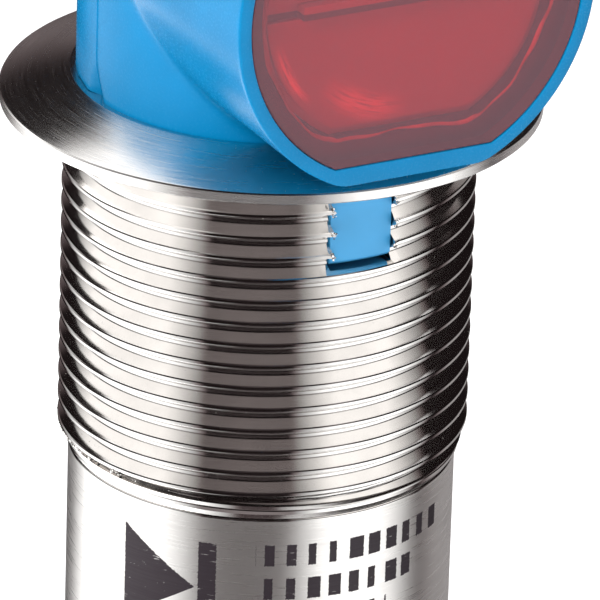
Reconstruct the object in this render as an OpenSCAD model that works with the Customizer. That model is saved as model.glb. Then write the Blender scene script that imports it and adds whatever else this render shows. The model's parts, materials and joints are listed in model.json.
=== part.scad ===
// Photoelectric sensor, M18 metal barrel with a radial (90 degree) optical head.
// Frame: Z is the thread axis and points to the head. Z = 0 is the seat under the flange.
// The sensor looks along -Y. Rear parts and the plug connector are below the barrel.

/* [Barrel] */
// Crest diameter of the mounting thread
thread_d = 17.88; // [17.8:0.01:17.96]
// Pitch of the mounting thread and of the connector thread
thread_pitch = 1; // [0.9:0.05:1.1]
// Width of a thread crest
crest_w = 0.16; // [0.12:0.01:0.2]
// Width of a thread root
root_w = 0.16; // [0.12:0.01:0.2]
// Whole turns of the mounting thread
thread_turns = 13; // [8:1:13]
// Diameter of the plain part of the barrel, which a nut slides over
plain_d = 16.9; // [16.7:0.05:16.9]
// Distance from the seat to the lower end of the barrel
barrel_len = 31; // [26:0.5:36]
// Bore of the barrel
bore_d = 14.4; // [14.2:0.1:14.6]

/* [Flange] */
// Outer diameter of the flange
flange_d = 23.4; // [22:0.1:25]
// Height of the flange's edge band
flange_edge = 0.55; // [0.4:0.05:0.7]
// Height of the flange where the head stands on it
flange_top = 1.4; // [1.2:0.1:1.8]
// Width of the key slot in the barrel
slot_w = 3; // [2.6:0.1:3.4]
// Depth of the slot's lower end below the seat
slot_low = 4.45; // [4:0.05:5]
// Depth of the slot's upper end below the seat
slot_high = 0.5; // [0.4:0.1:0.8]

/* [Head] */
// Outer radius of the head's upright part and of its round back
head_r = 8.42; // [8.4:0.01:8.6]
// Outer radius of the lens drum
drum_r = 8.37; // [8.3:0.01:8.38]
// Height of the optical axis above the seat
lens_z = 9.08; // [9:0.02:9.4]
// Radius of the round corners at the drum's flat lower side
drum_corner = 2; // [1:0.1:2.4]
// Distance from the thread axis to the drum's face
face_y = 12.86; // [12.5:0.02:13.5]
// Wall thickness of the head
wall = 1.2; // [1:0.1:1.3]

/* [Window] */
// Radius of the front window
window_r = 7.73; // [7.6:0.01:7.75]
// Height of the window's flat lower edge above the seat
window_low = 2.27; // [2.2:0.01:2.4]
// Thickness of the window
window_t = 0.8; // [0.7:0.1:0.9]
// How far the window lies behind the drum's face
window_recess = 0.05; // [0.05:0.05:0.2]
// Radius of the clear opening behind the window
clear_r = 6.8; // [6.6:0.1:6.9]
// Height of the clear opening's flat lower edge above the seat
clear_low = 3.15; // [3.1:0.05:3.3]

/* [Adjuster] */
// Radius of the adjuster's slotted head
adjuster_r = 1.8; // [1.5:0.1:1.9]
// Height of the adjuster above the seat
adjuster_z = 6.4; // [6.2:0.1:6.8]
// Turn of the adjuster away from its middle position, in degrees
adjuster_turn = 0; // [-135:5:135]

/* [Connector] */
// Crest diameter of the connector thread
plug_d = 11.94; // [11.8:0.02:11.96]
// Diameter of the plug cavity
cavity_d = 8.8; // [8.7:0.05:8.9]
// Circle that the contact pins stand on
pin_circle_d = 7.07; // [7:0.01:7.1]
// Diameter of a contact pin
pin_d = 1; // [0.9:0.05:1.1]
// Number of contact pins
pin_count = 4; // [4:1:4]

/* [Hidden] */

$fn = 96;

// Clearance between pieces that don't move, and the overlap that a cut runs past a face
gap = 0.05;
cut = 1;
// Larger than the whole sensor, for half spaces
big = 60;

// Thread form: 60 degree flanks between the crest and the root
thread_r = thread_d / 2;
flank_h = (thread_pitch - crest_w - root_w) / 2;
thread_depth = flank_h / tan(30);
root_r = thread_r - thread_depth;
first_crest = 0.8;
thread_end = first_crest + thread_turns * thread_pitch;
plain_r = plain_d / 2;
bore_r = bore_d / 2;
relief_r = plain_r - 0.12;
relief_len = 0.5;
relief_top = -thread_end - 1.1;
run_out_drop = 0.3;
run_out_h = 0.45;
plain_top = relief_top - relief_len - 0.12;
line_w = 0.14;
line_depth = 0.08;
line_drops = [0.3, 0.66];
end_chamfer = 0.3;

// Flange
edge_break = 0.1;
flange_r = flange_d / 2;
land_r = head_r + 0.25;

// Head
base_z = flange_top;
inner_r = head_r - wall;
drum_inner_r = drum_r - wall;
floor_z = base_z + wall;
spigot_r = bore_r - gap;
spigot_inner_r = 6;
spigot_low = 8;
tab_w = slot_w - 0.4;
tab_low = slot_low - 0.4;
tab_high = slot_high + 0.1;
tab_r = root_r;
seal_groove_r = 6.35;
seal_groove_w = 1;
seal_groove_z = -6.3;
seal_wire = 0.4;

// Window and what lies behind it, as distances from the thread axis along the optical axis
window_front = face_y - window_recess;
window_back = window_front - window_t;
glue_t = 0.05;
ledge_y = window_back - glue_t;
ledge_back = ledge_y - 0.75;
carrier_front = ledge_y - 0.6;
carrier_r = clear_r - 0.1;
carrier_low = clear_low + 0.1;
carrier_back = 3.6;
pocket_r = 5.9;
pocket_back = 5.4;
aperture_r = 1.6;
rib_t = 0.6;
rib_half_len = 4.9;
film_t = 0.2;
film_r = 6.4;
lens_rim_front = 10;
lens_back = 9.4;
lens_apex = 11.1;
lens_curve_r = 7;
channel_rise = 2.9;
board_t = 0.8;
optics_board_back = carrier_back - board_t;
optics_board_w = 10.8;
optics_board_h = 10;
chip_dome_r = 0.85;
chip_stand = 0.9;

// Back panel of the head
panel_y = 7.3;
panel_inner_y = 5.9;
panel_half_w = 3.6;
panel_low = 3.2;
panel_high = 12.9;
panel_corner_r = 1;
pad_margin = 0.6;
pad_height = panel_high - panel_low + 2 * pad_margin;
indicator_y = 3.2;
indicator_board_w = 9.2;
indicator_board_h = 9;
lamp_size = [1.6, 1.1, 1.2];
guide_x = 1.7;
guide_z = 11.2;
guide_r = 1;
guide_collar_r = 1.4;
guide_front = 7.4;
guide_back = 5.5;
shaft_r = 1.1;
spindle_front = 7.1;
spindle_back = 4.3;
running_gap = 0.05;
driver_slot_w = 0.6;
driver_slot_depth = 0.6;
driver_slot_half_len = 1.35;
pointer_half_len = 0.8;
pointer_low = 0.7;
pointer_w = 0.35;
pot_half_w = 2.3;
pot_t = 1.1;

// Boards in the barrel
main_half_w = 5;
main_half_t = 0.5;
main_low = -29;
signal_z = -11;
driver_z = -19;
link_z = 3.4;
link_t = 0.3;
link_half_w = 3.5;

// Rear housing and connector, heights from the seat
rear_top = -barrel_len;
rear_low = rear_top - 6;
rear_spigot_top = rear_top + 5;
rear_inner_r = 5.2;
rear_r = plain_r - 0.03;
collar_r = 6.6;
collar_t = 1.2;
stem_top = rear_low + 4;
cavity_top = rear_low - 1.4;
plug_thread_top = rear_low - 2;
plug_turns = 7;
plug_low = plug_thread_top - plug_turns * thread_pitch - 0.6;
plug_r = plug_d / 2;
plug_root_r = plug_r - thread_depth;
plug_relief_r = 5.3;
plug_bore_r = cavity_d / 2;
pin_low = plug_low + 1.2;
pin_tip = 0.25;
key_w = 1;
key_inner_r = 3.85;

// ---- shared shapes ----

// Outline of thread grooves below height top: a list of [radius, height] that runs downwards
function grooves(crest_r, valley_r, top, turns) = [
    for (k = [0 : turns - 1])
        let (z = top - k * thread_pitch)
        each [[crest_r, z],
              [valley_r, z - flank_h],
              [valley_r, z - flank_h - root_w],
              [crest_r, z - 2 * flank_h - root_w]]
];

// Round bar along the optical axis, from distance near to distance far in front of the thread axis
module optical_rod(r, near, far, x = 0, z = lens_z)
    translate([x, -near, z]) rotate([90, 0, 0]) cylinder(r = r, h = far - near);

// Disc with a flat lower edge, from distance near to distance far along the optical axis
module flat_disc(r, low, near, far)
    intersection() {
        optical_rod(r, near, far);
        translate([-big / 2, -far - cut, low]) cube([big, far - near + 2 * cut, big]);
    }

// Lens drum: round, with a flat lower side that has round corners
module drum(r, low, corner, near, far) {
    corner_z = low + corner;
    corner_x = sqrt(pow(r - corner, 2) - pow(lens_z - corner_z, 2));
    meet_z = lens_z - (lens_z - corner_z) * r / (r - corner);
    flat_disc(r, meet_z, near, far);
    for (x = [-corner_x, corner_x])
        optical_rod(corner, near, far, x, corner_z);
    translate([-corner_x, -far, low]) cube([2 * corner_x, far - near, 2 * corner]);
}

// Half disc above (side 1) or below (side -1) the optical axis, clear of the middle rib
module half_disc(r, side, near, far)
    intersection() {
        flat_disc(r, carrier_low + 0.7, near, far);
        translate([-big / 2, -far - cut, side > 0 ? lens_z + rib_t / 2 : lens_z - rib_t / 2 - big])
            cube([big, far - near + 2 * cut, big]);
    }

// Rubber ring of round section about the Z axis
module ring_seal(mid_r, wire_r, z)
    translate([0, 0, z]) rotate_extrude() translate([mid_r, 0]) circle(r = wire_r, $fn = 32);

// Rectangle with round corners in the plane, centred in X and from low to high in Y
module round_rect(half_w, low, high, r) {
    translate([-half_w, low + r]) square([2 * half_w, high - low - 2 * r]);
    translate([-half_w + r, low]) square([2 * half_w - 2 * r, high - low]);
    for (x = [-half_w + r, half_w - r])
        for (y = [low + r, high - r])
            translate([x, y]) circle(r = r, $fn = 48);
}

// ---- barrel ----

module threaded_sleeve() {
    profile = concat(
        [[bore_r, flange_top],
         [land_r, flange_top],
         [flange_r - edge_break, flange_edge],
         [flange_r, flange_edge - edge_break],
         [flange_r, 0],
         [thread_r, 0]],
        grooves(thread_r, root_r, -first_crest, thread_turns),
        [[thread_r, -thread_end],
         [root_r, -thread_end - flank_h],
         [root_r, -thread_end - flank_h - root_w],
         [thread_r - run_out_drop, relief_top + run_out_h],
         [relief_r, relief_top],
         [relief_r, relief_top - relief_len],
         [plain_r, plain_top]],
        [for (drop = line_drops)
             let (z = plain_top - drop)
             each [[plain_r, z],
                   [plain_r - line_depth, z - line_w / 3],
                   [plain_r - line_depth, z - 2 * line_w / 3],
                   [plain_r, z - line_w]]],
        [[plain_r, -barrel_len + end_chamfer],
         [plain_r - end_chamfer, -barrel_len],
         [bore_r, -barrel_len]]);
    color("silver")
        difference() {
            rotate_extrude() polygon(profile);
            translate([-slot_w / 2, -thread_r - cut, -slot_low])
                cube([slot_w, thread_r - bore_r + 2 * cut, slot_low - slot_high]);
        }
}

// ---- head ----

// Upright round part of the head with a dome, for radius r and a floor at height low
module upright_dome(r, low) {
    translate([0, 0, low]) cylinder(r = r, h = lens_z - low);
    translate([0, 0, lens_z]) sphere(r = r);
}

module head_housing() {
    color("dodgerblue")
        difference() {
            union() {
                intersection() {
                    union() {
                        translate([0, 0, base_z]) cylinder(r = head_r, h = lens_z - base_z);
                        drum(drum_r, base_z, drum_corner, 0, face_y);
                    }
                    translate([-big / 2, -big, base_z]) cube([big, big, big]);
                }
                translate([0, 0, -spigot_low]) cylinder(r = spigot_r, h = spigot_low + floor_z);
                translate([-tab_w / 2, -tab_r, -tab_low])
                    cube([tab_w, tab_r - spigot_inner_r - cut / 2, tab_low - tab_high]);
            }
            // room inside the upright part, above the floor
            intersection() {
                translate([0, 0, floor_z]) cylinder(r = inner_r, h = lens_z - floor_z);
                translate([-big / 2, -big, floor_z]) cube([big, big + cut, big]);
            }
            // room above the floor where the rear cover goes
            translate([-big / 2, 0, floor_z]) cube([big, big, big]);
            // drum, opening and window seat
            flat_disc(drum_inner_r, floor_z, -cut, ledge_back);
            flat_disc(clear_r, clear_low, ledge_back - cut, face_y);
            flat_disc(window_r + gap, window_low - gap, ledge_y, face_y + cut);
            // wiring passage and seal groove
            translate([0, 0, -spigot_low - cut])
                cylinder(r = spigot_inner_r, h = spigot_low + floor_z + 2 * cut);
            translate([0, 0, seal_groove_z - seal_groove_w / 2])
                difference() {
                    cylinder(r = spigot_r + cut, h = seal_groove_w);
                    translate([0, 0, -cut]) cylinder(r = seal_groove_r, h = seal_groove_w + 2 * cut);
                }
        }
}

module head_rear_cover() {
    color("dodgerblue")
        difference() {
            intersection() {
                difference() {
                    upright_dome(head_r, base_z);
                    difference() {
                        upright_dome(inner_r, base_z - cut);
                        translate([-panel_half_w - pad_margin, panel_inner_y, panel_low - pad_margin])
                            cube([2 * (panel_half_w + pad_margin), big, pad_height]);
                    }
                }
                translate([-big / 2, 0, base_z]) cube([big, big, big]);
            }
            // sunk back panel
            translate([0, panel_y + cut + big, 0]) rotate([90, 0, 0])
                linear_extrude(height = big + cut)
                    round_rect(panel_half_w, panel_low, panel_high, panel_corner_r);
            // holes for the adjuster and the light guides
            optical_rod(adjuster_r + running_gap, -big, -panel_inner_y + cut, 0, adjuster_z);
            for (x = [-guide_x, guide_x])
                optical_rod(guide_r + gap, -big, -panel_inner_y + cut, x, guide_z);
        }
}

module front_window()
    color([0.75, 0.2, 0.22, 0.7])
        flat_disc(window_r, window_low, window_back, window_front);

module window_adhesive()
    color("mistyrose")
        difference() {
            flat_disc(window_r - 0.1, window_low + 0.1, ledge_y, window_back);
            flat_disc(clear_r + gap, clear_low - gap, ledge_y - cut, window_back + cut);
        }

// ---- optics ----

module optics_carrier() {
    color([0.08, 0.08, 0.09])
        difference() {
            union() {
                flat_disc(carrier_r, carrier_low, carrier_back, carrier_front);
                translate([-rib_half_len, -ledge_y, lens_z - rib_t / 2])
                    cube([2 * rib_half_len, ledge_y - carrier_front, rib_t]);
            }
            for (side = [-1, 1]) {
                half_disc(pocket_r, side, pocket_back, carrier_front + cut / 4);
                optical_rod(aperture_r, carrier_back - cut, pocket_back + cut, 0,
                            lens_z + side * channel_rise);
            }
        }
}

// Half round lens with a domed front and a thin rim; side 1 is the upper one
module half_lens(side) {
    half_disc(pocket_r - gap, side, lens_back, lens_rim_front);
    intersection() {
        half_disc(pocket_r - gap, side, lens_rim_front - gap, lens_apex + cut);
        translate([0, lens_curve_r - lens_apex, lens_z + side * channel_rise]) sphere(r = lens_curve_r);
    }
}

module emitter_lens() color([0.85, 0.88, 0.9, 0.6]) half_lens(1);
module receiver_lens() color([0.85, 0.88, 0.9, 0.6]) half_lens(-1);

// Thin polarising film in front of a lens
module film(side)
    difference() {
        flat_disc(film_r, carrier_low + 0.3, carrier_front, carrier_front + film_t);
        translate([-big / 2, -carrier_front - film_t - cut,
                   side > 0 ? lens_z + rib_t / 2 + gap - big : lens_z - rib_t / 2 - gap])
            cube([big, film_t + 2 * cut, big]);
    }

module emitter_polariser() color([0.3, 0.3, 0.33, 0.6]) film(1);
module receiver_polariser() color([0.3, 0.3, 0.33, 0.6]) film(-1);

module optics_board()
    color("darkgreen")
        translate([-optics_board_w / 2, -carrier_back, link_z])
            cube([optics_board_w, board_t, optics_board_h]);

// Round optical component on the board, with a plinth and a dome
module optical_chip(z) {
    optical_rod(aperture_r - 2 * gap, carrier_back, carrier_back + chip_stand, 0, z);
    translate([0, -carrier_back - chip_stand, z]) sphere(r = chip_dome_r);
}

module emitter_led() color([0.95, 0.3, 0.25]) optical_chip(lens_z + channel_rise);
module receiver_photodiode() color([0.15, 0.13, 0.16]) optical_chip(lens_z - channel_rise);

// ---- back of the head ----

module indicator_board()
    color("darkgreen")
        translate([-indicator_board_w / 2, indicator_y, link_z])
            cube([indicator_board_w, board_t, indicator_board_h]);

// Small flat lamp that stands on the indicator board behind a light guide
module lamp(x)
    translate([x - lamp_size[0] / 2, indicator_y + board_t, guide_z - lamp_size[2] / 2]) cube(lamp_size);

module power_led() color("limegreen") lamp(-guide_x);
module switching_led() color("gold") lamp(guide_x);

// Clear plug with a collar behind the back panel
module light_guide(x) {
    optical_rod(guide_r, -guide_front, -guide_back, x, guide_z);
    optical_rod(guide_collar_r, -panel_inner_y, -guide_back, x, guide_z);
}

module power_light_guide() color([0.7, 0.95, 0.75, 0.7]) light_guide(-guide_x);
module switching_light_guide() color([0.98, 0.9, 0.55, 0.7]) light_guide(guide_x);

module adjuster_body() {
    low_y = indicator_y + board_t;
    color("royalblue")
        difference() {
            translate([-pot_half_w, low_y, adjuster_z - pot_half_w])
                cube([2 * pot_half_w, pot_t, 2 * pot_half_w]);
            optical_rod(shaft_r + running_gap, -low_y - pot_t - cut, -spindle_back + gap, 0, adjuster_z);
        }
}

module adjuster_spindle()
    color("whitesmoke")
        translate([0, 0, adjuster_z]) rotate([0, adjuster_turn, 0])
            difference() {
                union() {
                    optical_rod(adjuster_r, -spindle_front, -panel_inner_y - gap, 0, 0);
                    optical_rod(shaft_r, -panel_inner_y - 2 * gap, -spindle_back, 0, 0);
                }
                // screwdriver slot with a crosswise mark at its upper end, so that it reads as a pointer
                translate([-driver_slot_w / 2, spindle_front - driver_slot_depth, -driver_slot_half_len])
                    cube([driver_slot_w, driver_slot_depth + cut, 2 * driver_slot_half_len]);
                translate([-pointer_half_len, spindle_front - driver_slot_depth / 2, pointer_low])
                    cube([2 * pointer_half_len, driver_slot_depth + cut, pointer_w]);
            }

module adjuster_seal() {
    wire_r = 0.28;
    mid_r = shaft_r + running_gap + wire_r;
    seal_y = panel_inner_y - gap - 1.3 * wire_r;
    color([0.1, 0.1, 0.1])
        translate([0, seal_y, adjuster_z]) rotate([90, 0, 0]) ring_seal(mid_r, wire_r, 0);
}

module board_link()
    color("orange")
        translate([-link_half_w, -optics_board_back, link_z])
            cube([2 * link_half_w, optics_board_back + indicator_y, link_t]);

// ---- inside the barrel ----

module head_seal_ring()
    color([0.1, 0.1, 0.1])
        ring_seal(bore_r - seal_wire - 0.01, seal_wire, seal_groove_z);

module main_board()
    color("darkgreen")
        translate([-main_half_w, -main_half_t, main_low])
            cube([2 * main_half_w, 2 * main_half_t, link_z - main_low]);

// Flat chip on the front of the main board, with its middle at height z
module front_chip(half_w, half_h, t, z)
    translate([-half_w, -main_half_t - t, z - half_h]) cube([2 * half_w, t, 2 * half_h]);

module signal_chip() color([0.1, 0.1, 0.1]) front_chip(2.5, 2.5, 1, signal_z);
module output_driver() color([0.1, 0.1, 0.1]) front_chip(1.6, 2.2, 1.2, driver_z);

module buffer_capacitor() {
    can_r = 2.1;
    can_h = 3.4;
    color("gainsboro")
        translate([0, main_half_t, driver_z]) rotate([-90, 0, 0]) cylinder(r = can_r, h = can_h);
}

module chip_resistors() {
    chip = [0.8, 0.5, 1.6];
    column_x = 3.8;
    spacing = 2.4;
    rows = 5;
    color([0.2, 0.18, 0.16])
        for (x = [-column_x, column_x])
            for (k = [1 : rows])
                translate([x - chip[0] / 2, main_half_t, -2 - k * spacing]) cube(chip);
}

module potting_plug() {
    low = contact_top() + gap;
    step = stem_top + gap;
    top = rear_spigot_top - 1;
    color([0.12, 0.12, 0.13])
        difference() {
            union() {
                translate([0, 0, low]) cylinder(r = plug_bore_r - gap, h = step - low);
                translate([0, 0, step]) cylinder(r = rear_inner_r - gap, h = top - step);
            }
            translate([-main_half_w - gap, -main_half_t - gap, main_low - gap])
                cube([2 * (main_half_w + gap), 2 * (main_half_t + gap), big]);
            pin_ring(pin_d / 2 + gap, low - cut, main_low);
        }
}

// ---- rear housing and connector ----

module rear_housing() {
    groove_z = rear_top + 2.2;
    profile = [[rear_inner_r, rear_spigot_top],
               [spigot_r, rear_spigot_top],
               [spigot_r, groove_z + seal_groove_w / 2],
               [seal_groove_r, groove_z + seal_groove_w / 2],
               [seal_groove_r, groove_z - seal_groove_w / 2],
               [spigot_r, groove_z - seal_groove_w / 2],
               [spigot_r, rear_top],
               [rear_r, rear_top],
               [rear_r, rear_low + 0.8],
               [rear_r - 0.8, rear_low],
               [rear_inner_r, rear_low]];
    color("dodgerblue") rotate_extrude() polygon(profile);
}

module rear_seal_ring()
    color([0.1, 0.1, 0.1])
        ring_seal(bore_r - seal_wire - 0.01, seal_wire, rear_top + 2.2);

module connector_shell() {
    profile = concat(
        [[plug_bore_r, stem_top],
         [rear_inner_r - gap, stem_top],
         [rear_inner_r - gap, rear_low],
         [collar_r, rear_low],
         [collar_r, rear_low - collar_t],
         [plug_relief_r, rear_low - collar_t],
         [plug_relief_r, plug_thread_top],
         [plug_r, plug_thread_top]],
        grooves(plug_r, plug_root_r, plug_thread_top - crest_w, plug_turns),
        [[plug_r, plug_low + 0.4],
         [plug_r - 0.4, plug_low],
         [plug_bore_r + 0.2, plug_low],
         [plug_bore_r, plug_low + 0.2]]);
    color("silver") rotate_extrude() polygon(profile);
}

// Height of the contact carrier's inner end
function contact_top() = stem_top - 0.8;

module contact_carrier() {
    carrier_r2 = plug_bore_r - gap;
    color([0.1, 0.1, 0.1])
        difference() {
            union() {
                translate([0, 0, cavity_top]) cylinder(r = carrier_r2, h = contact_top() - cavity_top);
                // coding rib between two pins
                intersection() {
                    translate([0, 0, pin_low]) cylinder(r = carrier_r2, h = cavity_top - pin_low + cut / 2);
                    rotate([0, 0, 45]) translate([key_inner_r, -key_w / 2, pin_low])
                        cube([big, key_w, cavity_top - pin_low + cut / 2]);
                }
            }
            pin_ring(pin_d / 2 + 0.01, cavity_top - cut, contact_top() + cut);
        }
}

// Round bars at the places of the contact pins
module pin_ring(r, low, high)
    for (k = [0 : pin_count - 1])
        rotate([0, 0, k * 360 / pin_count])
            translate([pin_circle_d / 2, 0, low]) cylinder(r = r, h = high - low, $fn = 32);

module contact_pins() {
    pin_r = pin_d / 2;
    profile = [[0, main_low - 0.1],
               [pin_r, main_low - 0.1],
               [pin_r, pin_low + pin_tip],
               [pin_r - pin_tip, pin_low],
               [0, pin_low]];
    color("gold")
        for (k = [0 : pin_count - 1])
            rotate([0, 0, k * 360 / pin_count])
                translate([pin_circle_d / 2, 0, 0]) rotate_extrude($fn = 32) polygon(profile);
}

module connector_seal_ring() {
    wire_r = 0.3;
    color([0.1, 0.1, 0.1])
        ring_seal(plug_relief_r + wire_r + 0.01, wire_r, rear_low - collar_t - wire_r - 0.05);
}

threaded_sleeve();
head_housing();
head_rear_cover();
front_window();
window_adhesive();
optics_carrier();
emitter_lens();
receiver_lens();
emitter_polariser();
receiver_polariser();
optics_board();
emitter_led();
receiver_photodiode();
indicator_board();
power_led();
switching_led();
power_light_guide();
switching_light_guide();
adjuster_body();
adjuster_spindle();
adjuster_seal();
board_link();
head_seal_ring();
main_board();
signal_chip();
output_driver();
buffer_capacitor();
chip_resistors();
potting_plug();
rear_housing();
rear_seal_ring();
connector_shell();
contact_carrier();
contact_pins();
connector_seal_ring();
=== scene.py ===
"""Looks of the M18 photoelectric sensor with a radial head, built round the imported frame.

Lengths are in mm."""

import json
import random
from math import asin, atan2, copysign, cos, floor, hypot, pi, radians, sin, sqrt, tau

import bmesh
import bpy
from mathutils import Matrix, Vector, geometry


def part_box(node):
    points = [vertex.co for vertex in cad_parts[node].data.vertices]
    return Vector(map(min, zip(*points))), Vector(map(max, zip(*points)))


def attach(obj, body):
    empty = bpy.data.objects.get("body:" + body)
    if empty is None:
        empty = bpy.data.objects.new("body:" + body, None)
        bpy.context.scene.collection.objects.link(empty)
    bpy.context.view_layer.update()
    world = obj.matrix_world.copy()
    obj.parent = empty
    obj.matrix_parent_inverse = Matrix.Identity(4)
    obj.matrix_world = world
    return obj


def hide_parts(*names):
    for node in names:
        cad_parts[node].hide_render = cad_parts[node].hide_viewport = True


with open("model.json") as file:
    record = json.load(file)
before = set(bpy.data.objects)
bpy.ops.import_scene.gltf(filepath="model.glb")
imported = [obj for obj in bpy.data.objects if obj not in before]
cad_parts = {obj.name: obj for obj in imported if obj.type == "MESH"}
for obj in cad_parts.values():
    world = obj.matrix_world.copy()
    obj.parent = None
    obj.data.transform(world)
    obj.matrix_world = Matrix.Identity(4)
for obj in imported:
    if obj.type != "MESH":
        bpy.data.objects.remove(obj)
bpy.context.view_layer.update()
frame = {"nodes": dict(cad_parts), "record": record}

MM = 0.001
BODY = "body"
ADJUSTER = "adjuster"
RNG = random.Random(18)


def mount(name):
    """The record's entry for a mount."""
    return next(m for m in frame["record"]["mounts"] if m["name"] == name)


def box(node):
    """Lowest and highest corner of a CAD node, in mm."""
    low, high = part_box(node)
    return Vector(low) / MM, Vector(high) / MM


# ---- sizes from the frame ----

SLEEVE_LOW, SLEEVE_HIGH = box("threaded_sleeve")
FRONT_LOW = box("head_housing")[0]
COVER_LOW, COVER_HIGH = box("head_rear_cover")
WINDOW_LOW, WINDOW_HIGH = box("front_window")
REAR_LOW, REAR_HIGH = box("rear_housing")
SHELL_LOW, SHELL_HIGH = box("connector_shell")
SPINDLE_LOW, SPINDLE_HIGH = box("adjuster_spindle")
FILM_LOW = min(box("emitter_polariser")[0].z, box("receiver_polariser")[0].z)

# Mounting thread
CREST_R = mount("m18_thread")["dims"]["r_mm"]
THREAD_LEN = mount("m18_thread")["dims"]["length_mm"]
PITCH = 1.0
FLAT = 0.16
FLANK_H = (PITCH - 2 * FLAT) / 2
DEPTH = FLANK_H * sqrt(3) * 0.98
BORE_R = 7.2
PLAIN_HIGH = -THREAD_LEN - 2.4
FIRST_LOW = -0.79  # lower edge of the first crest, where it faces the camera
RUN_OUT_TOP = -THREAD_LEN - 1.3
RUN_OUT_LOW = -THREAD_LEN - 1.55
RELIEF_R = CREST_R - 0.22
PLAIN_R = CREST_R - 0.49
CRUMB_ZONE = 0.1
SPECKS_BELOW = -1.0

# Flange
FLANGE_R = SLEEVE_HIGH.x
FLANGE_TOP = SLEEVE_HIGH.z
FLANGE_EDGE = 0.55
EDGE_BREAK = 0.1

# Key slot
SLOT_HALF = 1.5
SLOT_TOP = -0.5
SLOT_BOTTOM = -4.45

# Head
HEAD_R = COVER_HIGH.y
DRUM_R = 8.37
AXIS_Z = COVER_HIGH.z - HEAD_R
BASE_Z = COVER_LOW.z
FACE_Y = FRONT_LOW.y
SHELL_T = 1.2
DRUM_CORNER = 2.0
WINDOW_R = WINDOW_HIGH.x
WINDOW_FLAT = WINDOW_LOW.z
WINDOW_FRONT = WINDOW_LOW.y
WINDOW_BACK = WINDOW_HIGH.y
CLEAR_R = 6.8
CLEAR_FLAT = 3.15
LEDGE_Y = WINDOW_BACK + 0.05
LEDGE_T = 0.75
SPIGOT_R = BORE_R - 0.05
SPIGOT_LOW = FRONT_LOW.z

# Back panel
PANEL_Y = 7.3
PANEL_INNER_Y = 5.9
PANEL_HALF = 3.6
PANEL_LOW = 3.2
PANEL_HIGH = 12.9
PANEL_ROUND = 1.0
ADJUSTER_Z = (SPINDLE_LOW.z + SPINDLE_HIGH.z) / 2
ADJUSTER_R = SPINDLE_HIGH.x
GUIDE_X = 1.7
GUIDE_Z = 11.2
GUIDE_R = 1.0
DOME_FROM = 0.12  # distance beyond the panel where the free dome starts

# Camera: place and direction in the frame
CAMERA_PLACE = Vector((-150.787, -285.441, 135.517))
CAMERA_ROLL = 1.794
CAMERA_BACK = Vector((-0.42982, -0.80455, 0.40982))
CAMERA_LENS = 489.2
CAMERA_TURN = atan2(CAMERA_PLACE.x, -CAMERA_PLACE.y)

# Finish of the barrel: how much rougher the flange and the plain end are than the thread
FLANGE_SATIN = 2.0
PLAIN_SATIN = 2.9
FLANGE_FROM = 0.03

# Share of matt, unmetallic surface on the plain end and on the flange's rim
PLAIN_MATT = 0.055
RIM_MATT = 0.1


# ---- node materials ----


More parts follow.
